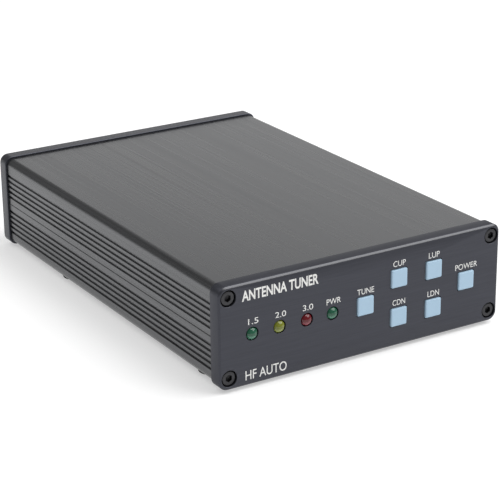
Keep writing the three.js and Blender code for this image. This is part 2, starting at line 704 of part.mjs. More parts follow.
function addSwitchedParts() {
  const relay = [15, 7.5, 10];
  const pitch = 9.5;
  const inductorCount = 7;
  const capacitorCount = 7;
  const firstY = 30;
  piece('inductor_relay_bank', rowOfBlocks([-41, firstY], inductorCount, pitch, relay), relayPlastic());
  piece('capacitor_relay_bank', rowOfBlocks([43, firstY], capacitorCount + 1, pitch, relay), relayPlastic());
  piece('capacitor_bank', rowOfBlocks([26, firstY + 2], capacitorCount, pitch, [9, 3.5, 8]), ceramicBlue());
}

// The line from each socket's contact: it drops to the board, and the transceiver's one runs through
// the ring core of the power and reflection bridge on its way.
function addLines() {
  const wireStart = CASE_LENGTH - SOCKET_BODY_LENGTH - 5.3;
  const height = REAR_CENTRE_HEIGHT;
  const drop = (x, bendY) => wire([
    [x, wireStart, height], [x, bendY + 3, height], [x, bendY, height - 1.5],
    [x, bendY - 2, height - 5], [x, bendY - 2.5, BOARD_TOP + 0.3],
  ], 1, 16);
  piece('transceiver_line', drop(SOCKETS.transceiver, 151), tinnedCopper());
  piece('antenna_line', drop(SOCKETS.antenna, 160), tinnedCopper());

  const [bore, outside, start, end] = [3.6, 7.5, 156, 164];
  const core = turned([[bore, start], [outside, start], [outside, end], [bore, end], [bore, start]]);
  piece('bridge_core', core, ferrite()).position.set(SOCKETS.transceiver, 0, height);
}

// Control parts on the main board

function addControlParts() {
  const [chipX, chipY] = [24, 124];
  const [chipLength, chipWidth] = [35.6, 7.2];
  const [pairCount, pinPitch, pinReach] = [14, 2.54, 4.1];
  const pins = [];
  for (let k = 0; k < pairCount; k += 1) {
    const x = chipX + (k - (pairCount - 1) / 2) * pinPitch;
    pins.push(box([x - 0.6, chipY - pinReach, BOARD_TOP], [x + 0.6, chipY + pinReach, BOARD_TOP + 1.8]));
  }
  const chip = box([chipX - chipLength / 2, chipY - chipWidth / 2, BOARD_TOP + 0.6],
    [chipX + chipLength / 2, chipY + chipWidth / 2, BOARD_TOP + 4]);
  piece('microcontroller', join(chip, ...pins), darkPlastic());

  const canRadius = 5;
  const canTop = BOARD_TOP + 12.5;
  const can = turnedUpright([
    [0, BOARD_TOP], [canRadius, BOARD_TOP], [canRadius, BOARD_TOP + 1.2], [canRadius - 0.3, BOARD_TOP + 1.5],
    [canRadius, BOARD_TOP + 1.8], [canRadius, canTop - 0.5], [canRadius - 0.5, canTop], [0, canTop],
  ], [-26, 146], 20);
  piece('filter_capacitor', can, sleeveBlue());

  const [tabX, tabY] = [-44, 150];
  const body = box([tabX - 5, tabY, BOARD_TOP + 3], [tabX + 5, tabY + 4.4, BOARD_TOP + 12]);
  const tab = box([tabX - 5, tabY + 3.1, BOARD_TOP + 3], [tabX + 5, tabY + 4.4, BOARD_TOP + 16]);
  const tabHole = cylinder(1.8, tabY, tabY + 6, [tabX, BOARD_TOP + 14], 12);
  const legs = [-2.54, 0, 2.54].map((dx) =>
    box([tabX + dx - 0.4, tabY + 1.8, BOARD_TOP], [tabX + dx + 0.4, tabY + 2.4, BOARD_TOP + 3.5]));
  piece('voltage_regulator', join(body, cut(tab, tabHole), ...legs), darkPlastic());
}

addShells();
addFrontPanel();
addRearPanel();
addScrews();
addFeet();
addButtons();
addLeds();
addBoards();
addSockets();
addGroundTerminal();
addDcJack();
addToroid('large_toroid', [-10, 54], 16.5, 9.9, 11, 11, 0.6);
addToroid('small_toroid', [-10, 98], 11, 6, 7.5, 9, 0.5);
addAirCoil([-40, 104]);
addSwitchedParts();
addLines();
addControlParts();

export default tuner;
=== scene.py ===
"""Looks of the antenna tuner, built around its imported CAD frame."""
import math

import bmesh
import bpy
from mathutils import Matrix, Quaternion, Vector


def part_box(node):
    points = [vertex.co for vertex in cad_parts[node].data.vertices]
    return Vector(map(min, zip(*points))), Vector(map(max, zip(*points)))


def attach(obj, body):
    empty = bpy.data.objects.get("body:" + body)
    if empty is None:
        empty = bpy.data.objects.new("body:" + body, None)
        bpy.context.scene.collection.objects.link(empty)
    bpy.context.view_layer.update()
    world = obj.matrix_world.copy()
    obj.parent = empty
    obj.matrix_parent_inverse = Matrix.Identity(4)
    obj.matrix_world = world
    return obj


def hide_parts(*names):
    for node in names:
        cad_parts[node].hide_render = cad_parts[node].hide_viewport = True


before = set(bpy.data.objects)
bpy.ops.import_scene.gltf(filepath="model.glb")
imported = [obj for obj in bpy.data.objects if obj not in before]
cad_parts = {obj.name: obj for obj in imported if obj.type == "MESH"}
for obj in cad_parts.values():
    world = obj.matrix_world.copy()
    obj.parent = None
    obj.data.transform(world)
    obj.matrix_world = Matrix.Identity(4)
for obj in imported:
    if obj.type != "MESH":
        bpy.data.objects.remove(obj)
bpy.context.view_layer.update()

MM = 0.001
TAU = 2 * math.pi
ROUND_STEPS = 48

# Details that the CAD boxes don't hold, in millimetres. They repeat the CAD's driving dimensions.

PANEL_CORNER_RADIUS = 3.6
PANEL_CHAMFER = 0.7
COUNTERBORE_RADIUS = 3.2
COUNTERBORE_DEPTH = 3.5
SCREW_HOLE_RADIUS = 1.7
HEX_KEY_SIZE = 2.5
CAP_CLEARANCE = 0.2
LAMP_CLEARANCE = 0.1
LAMP_RADIUS = 2.5
LAMP_LENGTH = 8.6

BODY_CORNER_RADIUS = 3.2
SIDE_WALL = 2.4
FLAT_WALL = 2.0
TONGUE_THICKNESS = 0.9
TONGUE_HEIGHT = 1.5
GROOVE_COUNT = 5
GROOVE_PITCH = 2.35
FIRST_GROOVE_FROM_SEAM = 3.3
GROOVE_WIDTH = 1.05
GROOVE_DEPTH = 0.6
SLOT_HEIGHT = 8.1
SLOT_OPENING = 1.8

BARREL_BORE = 6.4
MOUTH_DEPTH = 4.6
FLANGE_THICKNESS = 2.0
FLANGE_SCREW_OFFSET = 9.1

SIDES = ("left", "right")
CORNERS = [f"{row}_{side}" for row in ("upper", "lower") for side in SIDES]
BUTTONS = ["tune", "power", "capacitor_up", "capacitor_down", "inductor_up", "inductor_down"]
LAMPS = {
    "led_ratio_1_5": "green",
    "led_ratio_2_0": "yellow",
    "led_ratio_3_0": "red",
    "led_power": "green",
}
SOCKETS = ["antenna", "transceiver"]


# Where the CAD puts things, in millimetres

def low(node):
    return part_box(node)[0] / MM


def high(node):
    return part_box(node)[1] / MM


def centre(node):
    return (low(node) + high(node)) / 2


FRONT_FACE = low("front_panel").y
REAR_FACE = high("rear_panel").y
PANEL_BOTTOM = low("front_panel").z
PANEL_TOP = high("front_panel").z
PANEL_WIDTH = high("front_panel").x - low("front_panel").x
PANEL_HEIGHT = PANEL_TOP - PANEL_BOTTOM
PANEL_THICKNESS = high("front_panel").y - FRONT_FACE
PANEL_MIDDLE = (PANEL_TOP + PANEL_BOTTOM) / 2


# Mesh building. Pieces are built in millimetres, lying along Y, and scaled when they are finished.

def circle(radius, y, steps=ROUND_STEPS):
    turns = [TAU * k / steps for k in range(steps)]
    return [Vector((radius * math.cos(a), y, radius * math.sin(a))) for a in turns]


def hexagon(across_flats, y, steps=ROUND_STEPS):
    """A hexagon with as many points as a circle, so that the two can be joined."""
    points = []
    for k in range(steps):
        angle = TAU * k / steps
        from_flat = (angle + TAU / 12) % (TAU / 6) - TAU / 12
        radius = across_flats / 2 / math.cos(from_flat)
        points.append(Vector((radius * math.cos(angle), y, radius * math.sin(angle))))
    return points


def rounded_rectangle(width, height, radius, y, corner_steps=8):
    points = []
    for quarter, (sx, sz) in enumerate([(1, 1), (-1, 1), (-1, -1), (1, -1)]):
        middle_x = sx * (width / 2 - radius)
        middle_z = sz * (height / 2 - radius)
        for k in range(corner_steps + 1):
            angle = (quarter + k / corner_steps) * TAU / 4
            x = middle_x + radius * math.cos(angle)
            z = middle_z + radius * math.sin(angle)
            points.append(Vector((x, y, z)))
    return points


def skin(bm, rings, closed=False, at=(0, 0, 0)):
    """Joins rings of points into one surface. A ring of one point is a pole."""
    offset = Vector(at)
    made = [[bm.verts.new(p + offset) for p in ring] for ring in rings]
    pairs = list(zip(made, made[1:]))
    if closed:
        pairs.append((made[-1], made[0]))
    for a, b in pairs:
        count = max(len(a), len(b))
        for i in range(count):
            j = (i + 1) % count
            if len(a) == 1:
                bm.faces.new((a[0], b[j], b[i]))
            elif len(b) == 1:
                bm.faces.new((a[i], a[j], b[0]))
            else:
                bm.faces.new((a[i], a[j], b[j], b[i]))
    return made


def loop_edges(bm, ring):
    return [bm.edges.get((a, ring[(i + 1) % len(ring)])) for i, a in enumerate(ring)]


def fill(bm, *rings):
    """A flat face bounded by the first ring, with the other rings as holes in it."""
    edges = [edge for ring in rings for edge in loop_edges(bm, ring)]
    bmesh.ops.triangle_fill(bm, use_beauty=True, use_dissolve=False, edges=edges)


def lathe_rings(profile, steps=ROUND_STEPS):
    """Rings for a profile of (radius, y) points; a radius of 0 gives a pole."""
    return [[Vector((0, y, 0))] if radius == 0 else circle(radius, y, steps) for radius, y in profile]


def arc(middle, radius, start, end, steps):
    """Points of a circular arc, for a profile or an outline. Angles are in quarter turns."""
    points = []
    for k in range(steps + 1):
        angle = (start + (end - start) * k / steps) * TAU / 4
        points.append((middle[0] + radius * math.cos(angle), middle[1] + radius * math.sin(angle)))
    return points


def thread_rings(radius, depth, pitch, start, end, steps=ROUND_STEPS):
    """A screw thread cut depth deep into a cylinder, from y = start to y = end."""
    rows = max(2, round(abs(end - start) / pitch * 8))
    rings = []
    for row in range(rows + 1):
        share = row / rows
        y = start + (end - start) * share
        fade = min(1, share * rows / 6, (1 - share) * rows / 6)
        ring = []
        for k in range(steps):
            phase = (y / pitch - k / steps) % 1
            cut = 1 - abs(2 * phase - 1)
            r = radius - depth * (1 - fade + fade * cut)
            angle = TAU * k / steps
            ring.append(Vector((r * math.cos(angle), y, r * math.sin(angle))))
        rings.append(ring)
    return rings


def finish_piece(name, bm, materials, at=(0, 0, 0), turn=None, sharp=32, pick=None):
    """Turns a bmesh in millimetres into an object in place, smooth except over sharp degrees."""
    bmesh.ops.remove_doubles(bm, verts=bm.verts, dist=1e-5)
    bmesh.ops.recalc_face_normals(bm, faces=bm.faces)
    place = Matrix.Translation(Vector(at) * MM) @ (turn or Matrix.Identity(4)) @ Matrix.Scale(MM, 4)
    if pick:
        for face in bm.faces:
            face.material_index = pick(face)
    bm.transform(place)
    mesh = bpy.data.meshes.new(name)
    bm.to_mesh(mesh)
    bm.free()
    for material in materials if isinstance(materials, list) else [materials]:
        mesh.materials.append(material)
    mesh.polygons.foreach_set("use_smooth", [True] * len(mesh.polygons))
    mesh.set_sharp_from_angle(angle=math.radians(sharp))
    obj = bpy.data.objects.new(name, mesh)
    bpy.context.scene.collection.objects.link(obj)
    return obj


def stands_for(obj, node, body="case"):
    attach(obj, body)
    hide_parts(node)
    return obj


TURN_ROUND = Matrix.Rotation(math.pi, 4, "Z")


# Materials

def node(tree, kind, **values):
    made = tree.nodes.new(kind)
    for key, value in values.items():
        if key in made.inputs:
            made.inputs[key].default_value = value
        else:
            setattr(made, key, value)
    return made


def surface(name, colour, roughness, metallic=0.0, **extra):
    """A principled material with every constant set on the shader's own sockets."""
    material = bpy.data.materials.new(name)
    material.use_nodes = True
    shader = material.node_tree.nodes["Principled BSDF"]
    shader.inputs["Base Color"].default_value = (*colour, 1)
    shader.inputs["Roughness"].default_value = roughness
    shader.inputs["Metallic"].default_value = metallic
    for key, value in extra.items():
        shader.inputs[key.replace("_", " ")].default_value = value
    return material, shader


def object_noise(tree, stretch, scale=1.0, detail=4.0, roughness=0.55):
    """Noise in the piece's own space; stretch is in cycles per metre along each axis."""
    coordinates = node(tree, "ShaderNodeTexCoord")
    mapping = node(tree, "ShaderNodeMapping")
    mapping.inputs["Scale"].default_value = stretch
    noise = node(tree, "ShaderNodeTexNoise")
    noise.inputs["Scale"].default_value = scale
    noise.inputs["Detail"].default_value = detail
    noise.inputs["Roughness"].default_value = roughness
    tree.links.new(coordinates.outputs["Object"], mapping.inputs["Vector"])
    tree.links.new(mapping.outputs["Vector"], noise.inputs["Vector"])
    return noise.outputs["Fac"]


def ramp(tree, factor, stops):
    made = node(tree, "ShaderNodeValToRGB")
    elements = made.color_ramp.elements
    while len(elements) < len(stops):
        elements.new(0.5)
    for element, (position, colour) in zip(elements, stops):
        element.position = position
        element.color = (*colour, 1)
    tree.links.new(factor, made.inputs["Fac"])
    return made.outputs["Color"]


def spread(tree, factor, low_value, high_value):
    """Maps the middle of a noise to a range of values."""
    made = node(tree, "ShaderNodeMapRange")
    made.inputs["From Min"].default_value = 0.25
    made.inputs["From Max"].default_value = 0.75
    made.inputs["To Min"].default_value = low_value
    made.inputs["To Max"].default_value = high_value
    tree.links.new(factor, made.inputs["Value"])
    return made.outputs["Result"]


def bump(tree, shader, height, strength, distance):
    made = node(tree, "ShaderNodeBump")
    made.inputs["Strength"].default_value = strength
    made.inputs["Distance"].default_value = distance
    tree.links.new(height, made.inputs["Height"])
    tree.links.new(made.outputs["Normal"], shader.inputs["Normal"])


def shade(colour, factor):
    return tuple(c * factor for c in colour)


def grained(name, colour, roughness, metallic=0.0, stretch=(900, 900, 900), contrast=0.12,
            rough_contrast=0.08, depth=0.00002, strength=0.3, detail=4.0, **extra):
    """A surface whose colour, gloss and height follow one fine noise."""
    material, shader = surface(name, colour, roughness, metallic, **extra)
    tree = material.node_tree
    grain = object_noise(tree, stretch, detail=detail)
    stops = [(0.3, shade(colour, 1 - contrast)), (0.7, shade(colour, 1 + contrast))]
    tree.links.new(ramp(tree, grain, stops), shader.inputs["Base Color"])
    rough = spread(tree, grain, roughness - rough_contrast, roughness + rough_contrast)
    tree.links.new(rough, shader.inputs["Roughness"])
    bump(tree, shader, grain, strength, depth)
    return material


def anodised_shell():
    return grained("brushed_dark_anodising", (0.125, 0.127, 0.132), 0.3, 0.9,
                   stretch=(900, 6, 900), contrast=0.2, rough_contrast=0.1,
                   depth=0.00001, strength=0.35, detail=6)


def anodised_panel():
    return grained("satin_black_anodising", (0.05, 0.052, 0.064), 0.42, 0.7,
                   stretch=(60, 2600, 2600), contrast=0.1, rough_contrast=0.04,
                   depth=0.00001, strength=0.25)


# A lighter, glossier colour for the outer chamfer on the panels' top and +X edges: a painted highlight where
# the key light falls.
def painted_highlight_edge():
    return grained("panel_edge_painted_highlight", (0.085, 0.086, 0.092), 0.36, 0.8,
                   stretch=(300, 300, 2500), contrast=0.12, rough_contrast=0.06,
                   depth=0.00001, strength=0.2)


def black_steel():
    return grained("black_oxide_steel", (0.05, 0.05, 0.053), 0.34, 0.9,
                   stretch=(3000, 3000, 3000), contrast=0.25, rough_contrast=0.08,
                   depth=0.00001, strength=0.2)


def cap_plastic():
    return grained("light_blue_cap_plastic", (0.375, 0.53, 0.67), 0.42, 0.0,
                   stretch=(5000, 5000, 5000), contrast=0.025, rough_contrast=0.05,
                   depth=0.000008, strength=0.25, Specular_IOR_Level=0.5)


def foot_rubber():
    return grained("foot_rubber", (0.02, 0.02, 0.021), 0.82, 0.0,
                   stretch=(2200, 2200, 2200), contrast=0.25, rough_contrast=0.08,
                   depth=0.00003, strength=0.5)


def plastic(name, colour, roughness=0.45):
    return grained(name, colour, roughness, 0.0, stretch=(2500, 2500, 2500), contrast=0.1,
                   rough_contrast=0.06, depth=0.00001, strength=0.25)


def metal(name, colour, roughness, stretch=(1800, 1800, 1800)):
    return grained(name, colour, roughness, 1.0, stretch=stretch, contrast=0.08,
                   rough_contrast=0.06, depth=0.00001, strength=0.15)


def tinted_lens(name, deep, bright):
    """A glossy coloured lens, painted brighter towards its lower edge in place of gathered light."""
    material, shader = surface(name, deep, 0.07, 0.0, Transmission_Weight=0.25, IOR=1.5)
    tree = material.node_tree
    height = centre("led_power").z * MM
    coordinates = node(tree, "ShaderNodeTexCoord")
    split = node(tree, "ShaderNodeSeparateXYZ")
    gather = node(tree, "ShaderNodeMapRange")
    gather.inputs["From Min"].default_value = height - 0.0019
    gather.inputs["From Max"].default_value = height + 0.0006
    tree.links.new(coordinates.outputs["Object"], split.inputs["Vector"])
    tree.links.new(split.outputs["Z"], gather.inputs["Value"])
    stops = [(0.0, bright), (0.25, bright), (0.7, deep), (1.0, shade(deep, 1.2))]
    tree.links.new(ramp(tree, gather.outputs["Result"], stops), shader.inputs["Base Color"])
    return material


def ink():
    return grained("white_panel_ink", (0.78, 0.78, 0.76), 0.55, 0.0,
                   stretch=(6000, 6000, 6000), contrast=0.08, rough_contrast=0.05,
                   depth=0.000005, strength=0.2)


# Case

def groove_outline(height, half_width):
    """The outer side wall's points from the lowest groove up, with slightly eased groove lips."""
    lip = 0.12
    points = []
    for k in reversed(range(GROOVE_COUNT)):
        middle = height - FIRST_GROOVE_FROM_SEAM - k * GROOVE_PITCH
        lower, upper = middle - GROOVE_WIDTH / 2, middle + GROOVE_WIDTH / 2
        ground = half_width - GROOVE_DEPTH
        points += [
            (half_width, lower - lip), (half_width - lip, lower),
            (ground + lip, lower), (ground, lower + lip),
            (ground, upper - lip), (ground + lip, upper),
            (half_width - lip, upper), (half_width, upper + lip),
        ]
    return points


def shell_outline(height, half_width, port_x, has_tongue):
    inner = half_width - SIDE_WALL
    ledge = inner - 2
    port_edge = 2 * port_x - half_width
    rib_top = SLOT_HEIGHT + SLOT_OPENING + 1
    ease = 0.15
    if has_tongue:
        tongue_x = inner + TONGUE_THICKNESS
        seam = [(tongue_x, height), (tongue_x, height + TONGUE_HEIGHT), (inner, height + TONGUE_HEIGHT)]
    else:
        rebate_x = inner + TONGUE_THICKNESS + 0.2
        floor = height - TONGUE_HEIGHT - 0.3
        seam = [(rebate_x, height), (rebate_x, floor), (inner, floor)]
    right = arc((half_width - BODY_CORNER_RADIUS, BODY_CORNER_RADIUS), BODY_CORNER_RADIUS, -1, 0, 14)
    right += groove_outline(height, half_width)
    right += [(half_width, height - ease), (half_width - ease, height)]
    right += seam
    right += [
        (inner, rib_top), (ledge, rib_top), (ledge, SLOT_HEIGHT + SLOT_OPENING),
        (inner, SLOT_HEIGHT + SLOT_OPENING), (inner, SLOT_HEIGHT), (ledge, SLOT_HEIGHT),
        (port_edge, SLOT_HEIGHT - 2.5), (port_edge, FLAT_WALL),
    ]
    return right + [(-x, z) for x, z in reversed(right)]


def add_shell(name, upper, material):
    bottom, top = low(name), high(name)
    half_width = (top.x - bottom.x) / 2
    rim = TONGUE_HEIGHT if not upper else 0
    height = top.z - bottom.z - rim
    screw = centre("front_screw_upper_right" if upper else "front_screw_lower_right")
    port_z = top.z - screw.z if upper else screw.z - bottom.z
    outline = shell_outline(height, half_width, screw.x, not upper)
    bm = bmesh.new()
    ends = []
    for sx in (0, -1, 1):
        if sx == 0:
            points = outline
        else:
            port = arc((0, 0), SCREW_HOLE_RADIUS, 0, 4, 24)[:-1]
            points = [(sx * screw.x + x, port_z + z) for x, z in port]
        rings = [[Vector((x, y, z)) for x, z in points] for y in (bottom.y, top.y)]
        ends.append(skin(bm, rings))
    fill(bm, *[rings[0] for rings in ends])
    fill(bm, *[rings[1] for rings in ends])
    turn = Matrix.Rotation(math.pi, 4, "Y") if upper else None
    at = (0, 0, top.z if upper else bottom.z)
    stands_for(finish_piece(f"{name}_extrusion", bm, material, at, turn), name)


def panel_rim(thickness):
    """(inset, y) pairs round the panel's edge, from the outer face back, with eased corners."""
    ease = 0.07
    c = PANEL_CHAMFER
    return [
        (c + ease, 0), (c - ease, ease), (ease, c - ease), (0, c + ease),
        (0, thickness - 0.2), (0.2, thickness),
    ]


def add_panel(name, holes, turn, face_y, materials):
    """An end panel. Each hole is ((x, z), rings from the outer face back), in the panel's own space."""
    bm = bmesh.new()
    rings = [
        rounded_rectangle(PANEL_WIDTH - 2 * inset, PANEL_HEIGHT - 2 * inset,
                          PANEL_CORNER_RADIUS - inset, y, 12)
        for inset, y in panel_rim(PANEL_THICKNESS)
    ]
    walls = [skin(bm, rings)]
    for (x, z), hole_rings in holes:
        walls.append(skin(bm, hole_rings, at=(x, 0, z)))
    fill(bm, *[wall[0] for wall in walls])
    fill(bm, *[wall[-1] for wall in walls])

    # Faces of the outer chamfer on the top and +X edges, in the panel's own space, take the second material,
    # a painted highlight.
    def pick(face):
        middle = face.calc_center_median()
        at_edge = max(middle.x - PANEL_WIDTH / 2, middle.z - PANEL_HEIGHT / 2) > -PANEL_CHAMFER * 1.2
        return 1 if at_edge and middle.y < PANEL_CHAMFER else 0

    obj = finish_piece(f"{name}_plate", bm, materials, (0, face_y, PANEL_MIDDLE), turn, pick=pick)
    stands_for(obj, name)


def counterbore():
    ease = 0.12
    return [
        circle(COUNTERBORE_RADIUS + ease, 0), circle(COUNTERBORE_RADIUS, ease),
        circle(COUNTERBORE_RADIUS, COUNTERBORE_DEPTH), circle(SCREW_HOLE_RADIUS, COUNTERBORE_DEPTH),
        circle(SCREW_HOLE_RADIUS, PANEL_THICKNESS),
    ]


def round_hole(radius):
    ease = 0.1
    return [circle(radius + ease, 0), circle(radius, ease), circle(radius, PANEL_THICKNESS)]


def cap_hole(size):
    ease = 0.1
    return [
        rounded_rectangle(size + 2 * ease, size + 2 * ease, 0.6, 0, 6),
        rounded_rectangle(size, size, 0.5, ease, 6),
        rounded_rectangle(size, size, 0.5, PANEL_THICKNESS, 6),
    ]


def add_front_panel(materials):
    def place(name):
        return centre(name).x, centre(name).z - PANEL_MIDDLE

    holes = [(place(f"front_screw_{corner}"), counterbore()) for corner in CORNERS]
    holes += [(place(lamp), round_hole(LAMP_RADIUS + LAMP_CLEARANCE)) for lamp in LAMPS]
    holes += [(place(f"{name}_button"), cap_hole(CAP_SIZE + 2 * CAP_CLEARANCE)) for name in BUTTONS]
    add_panel("front_panel", holes, None, FRONT_FACE, materials)


def add_rear_panel(materials):
    def place(name):
        return -centre(name).x, centre(name).z - PANEL_MIDDLE

    holes = [(place(f"rear_screw_{corner}"), counterbore()) for corner in CORNERS]
    holes += [(place(f"{name}_socket_shell"), round_hole(6.4)) for name in SOCKETS]
    holes += [(place("ground_stud"), round_hole(2.2)), (place("dc_jack"), round_hole(4.1))]
    add_panel("rear_panel", holes, TURN_ROUND, REAR_FACE, materials)


def add_cap_screw(name, turn, face_y, material):
    """A socket cap screw with an eased head, a coned hex socket and a thread."""
    head, shank, head_height = 2.75, 1.45, 3.0
    length = high(name).y - low(name).y
    rings = lathe_rings([(0, 1.75)])
    rings += [hexagon(HEX_KEY_SIZE, 1.45), hexagon(HEX_KEY_SIZE, 0.05), hexagon(HEX_KEY_SIZE + 0.1, 0)]
    rings += lathe_rings([(head - 0.35, 0), (head - 0.1, 0.1), (head, 0.35), (head, head_height)])
    rings += lathe_rings([(shank, head_height), (shank, head_height + 1.5)])
    rings += thread_rings(shank, 0.2, 0.5, head_height + 1.6, length - 0.3)
    rings += lathe_rings([(shank - 0.4, length), (0, length)])
    bm = bmesh.new()
    skin(bm, rings)
    middle = centre(name)
    stands_for(finish_piece(f"{name}_bolt", bm, material, (middle.x, face_y, middle.z), turn), name)


def add_foot(name, material):
    radius = (high(name).x - low(name).x) / 2
    height = high(name).z - low(name).z
    profile = [(0, 0), (radius - 1.3, 0)]
    profile += [(radius - 1.3 + 0.9 * math.sin(a * TAU / 4), 0.9 * (1 - math.cos(a * TAU / 4)))
                for a in (0.25, 0.5, 0.75, 1)]
    profile += [(radius, height - 0.15), (radius - 0.15, height), (0, height)]
    bm = bmesh.new()
    skin(bm, lathe_rings(profile))
    middle = centre(name)
    upright = Matrix.Rotation(math.pi / 2, 4, "X")
    obj = finish_piece(f"{name}_pad", bm, material, (middle.x, middle.y, low(name).z), upright)
    stands_for(obj, name)


# Front controls

CAP_SIZE = 7.2


def add_button(name, material):
    """The cap with its eased edge and faint dish, its skirt behind the panel and its plunger."""
    button = f"{name}_button"
    front, back = low(button).y, high(button).y
    skirt_size = high(button).x - low(button).x
    skirt_front = FRONT_FACE + PANEL_THICKNESS + 0.3
    ease = 0.5
    rings = [[Vector((0, front + 0.06, 0))]]
    for share, sink in ((0.35, 0.05), (0.7, 0.02)):
        rings.append(rounded_rectangle(CAP_SIZE * share, CAP_SIZE * share, 0.3, front + sink, 6))
    for x, z in arc((0, 0), ease, 0, 1, 5)[::-1]:
        size = CAP_SIZE - 2 * (ease - x)
        rings.append(rounded_rectangle(size, size, 0.6 - (ease - x) * 0.6, front + ease - z, 6))
    rings.append(rounded_rectangle(CAP_SIZE, CAP_SIZE, 0.6, skirt_front, 6))
    rings.append(rounded_rectangle(skirt_size, skirt_size, 0.3, skirt_front, 6))
    rings.append(rounded_rectangle(skirt_size, skirt_size, 0.3, skirt_front + 1, 6))
    plunger_steps = len(rings[-1])
    rings.append(circle(3.2, skirt_front + 1, plunger_steps))
    rings.append(circle(3.2, back, plunger_steps))
    rings.append([Vector((0, back, 0))])
    bm = bmesh.new()
    skin(bm, rings)
    middle = centre(button)
    obj = finish_piece(f"{button}_cap", bm, material, (middle.x, 0, middle.z))
    stands_for(obj, button, button)


def add_lamp(name, lens, frame_metal):
    """A domed lamp: the tinted lens with its flange, and the cup and post cast into it."""
    tip = low(name).y
    middle = centre(name)
    base = tip + LAMP_LENGTH
    dome = [(LAMP_RADIUS * math.sin(a * TAU / 4), tip + LAMP_RADIUS * (1 - math.cos(a * TAU / 4)))
            for a in (k / 14 for k in range(1, 15))]
    profile = [(0, tip)] + dome
    profile += [(LAMP_RADIUS, base - 1), (2.9, base - 1), (2.9, base), (0, base)]
    bm = bmesh.new()
    skin(bm, lathe_rings(profile))
    obj = finish_piece(f"{name}_lens", bm, lens, (middle.x, 0, middle.z))
    stands_for(obj, name)

    bm = bmesh.new()
    cup = [(0, tip + 3.6), (0.35, tip + 3.6), (0.95, tip + 3.0), (1.15, tip + 3.0),
           (1.15, tip + 4.6), (0, tip + 4.8)]
    skin(bm, lathe_rings(cup, 20), at=(-0.35, 0, 0))
    board = low("display_board").y
    for x, start in ((-1.27, tip + 4.9), (1.27, tip + 3.4)):
        lead = [rounded_rectangle(0.5, 0.5, 0.08, y, 2) for y in (start, board)]
        ends = skin(bm, lead, at=(x, 0, 0))
        bm.faces.new(ends[0])
        bm.faces.new(ends[1])
    inner = finish_piece(f"{name}_leadframe", bm, frame_metal, (middle.x, 0, middle.z))
    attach(inner, "case")


# Lettering

def add_words(bm, words, middle, width, height, weight=0.0):
    """Adds raised ink letters filling a box round middle, which is (x, z) in the panel's own space."""
    curve = bpy.data.curves.new("words", "FONT")
    curve.body = words
    curve.size = 3
    curve.offset = weight
    curve.extrude = INK_THICKNESS / 2
    curve.resolution_u = 6
    holder = bpy.data.objects.new("words", curve)
    bpy.context.scene.collection.objects.link(holder)
    bpy.context.view_layer.update()
    evaluated = holder.evaluated_get(bpy.context.evaluated_depsgraph_get())
    mesh = evaluated.to_mesh()
    across = [v.co.x for v in mesh.vertices]
    up = [v.co.y for v in mesh.vertices]
    to_middle = Matrix.Translation((-(min(across) + max(across)) / 2, -(min(up) + max(up)) / 2, 0))
    fit = Matrix.Diagonal((width / (max(across) - min(across)), height / (max(up) - min(up)), 1, 1))
    upright = Matrix.Rotation(math.pi / 2, 4, "X")
    place = Matrix.Translation((middle[0], -INK_THICKNESS, middle[1]))
    mesh.transform(place @ upright @ fit @ to_middle)
    bm.from_mesh(mesh)
    evaluated.to_mesh_clear()
    bpy.data.objects.remove(holder)
    bpy.data.curves.remove(curve)


INK_THICKNESS = 0.03
LABEL_HEIGHT = 2.25
LABEL_SHIFT = 0.15
LAMP_LABEL_SHIFT = 0.4
BUTTON_LABEL_RISE = 5.85
LAMP_LABEL_RISE = 4.85

# Words and their widths
BUTTON_LABELS = {
    "tune": ("TUNE", 7.6),
    "power": ("POWER", 10.5),
    "capacitor_up": ("CUP", 5.7),
    "capacitor_down": ("CDN", 5.8),
    "inductor_up": ("LUP", 5.1),
    "inductor_down": ("LDN", 5.4),
}
LAMP_LABELS = {
    "led_ratio_1_5": ("1.5", 4.3),
    "led_ratio_2_0": ("2.0", 4.6),
    "led_ratio_3_0": ("3.0", 4.5),
    "led_power": ("PWR", 6.3),
}
REAR_LABELS = {
    "antenna_socket_shell": ("ANT", 6.6),
    "transceiver_socket_shell": ("RADIO", 10.4),
    "dc_jack": ("DC IN", 9),
    "ground_stud": ("GND", 6.6),
}


def add_front_lettering(material):
    bm = bmesh.new()
    for name, (words, width) in BUTTON_LABELS.items():
        middle = centre(f"{name}_button")
        place = (middle.x + LABEL_SHIFT, middle.z - PANEL_MIDDLE + BUTTON_LABEL_RISE)
        add_words(bm, words, place, width, LABEL_HEIGHT)
    for lamp, (words, width) in LAMP_LABELS.items():
        middle = centre(lamp)
        place = (middle.x + LAMP_LABEL_SHIFT, middle.z - PANEL_MIDDLE + LAMP_LABEL_RISE)
        add_words(bm, words, place, width, LABEL_HEIGHT)
    left = -PANEL_WIDTH / 2
    add_words(bm, "ANTENNA TUNER", (left + 25.95, PANEL_HEIGHT / 2 - 4.9), 32.5, 4.1, weight=0.07)
    add_words(bm, "HF AUTO", (left + 19.6, 4.05 - PANEL_HEIGHT / 2), 17.6, 3.7, weight=0.01)
    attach(finish_piece("front_lettering", bm, material, (0, FRONT_FACE, PANEL_MIDDLE)), "case")


def add_rear_lettering(material):
    bm = bmesh.new()
    for name, (words, width) in REAR_LABELS.items():
        middle = centre(name)
        reach = max(high(name).z - middle.z, 6)
        place = (-middle.x, middle.z - PANEL_MIDDLE + reach + 2.6)
        add_words(bm, words, place, width, LABEL_HEIGHT)
    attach(finish_piece("rear_lettering", bm, material, (0, REAR_FACE, PANEL_MIDDLE), TURN_ROUND), "case")


# Rear connectors, drawn with the panel's face at y = 0 and the mouth towards +Y

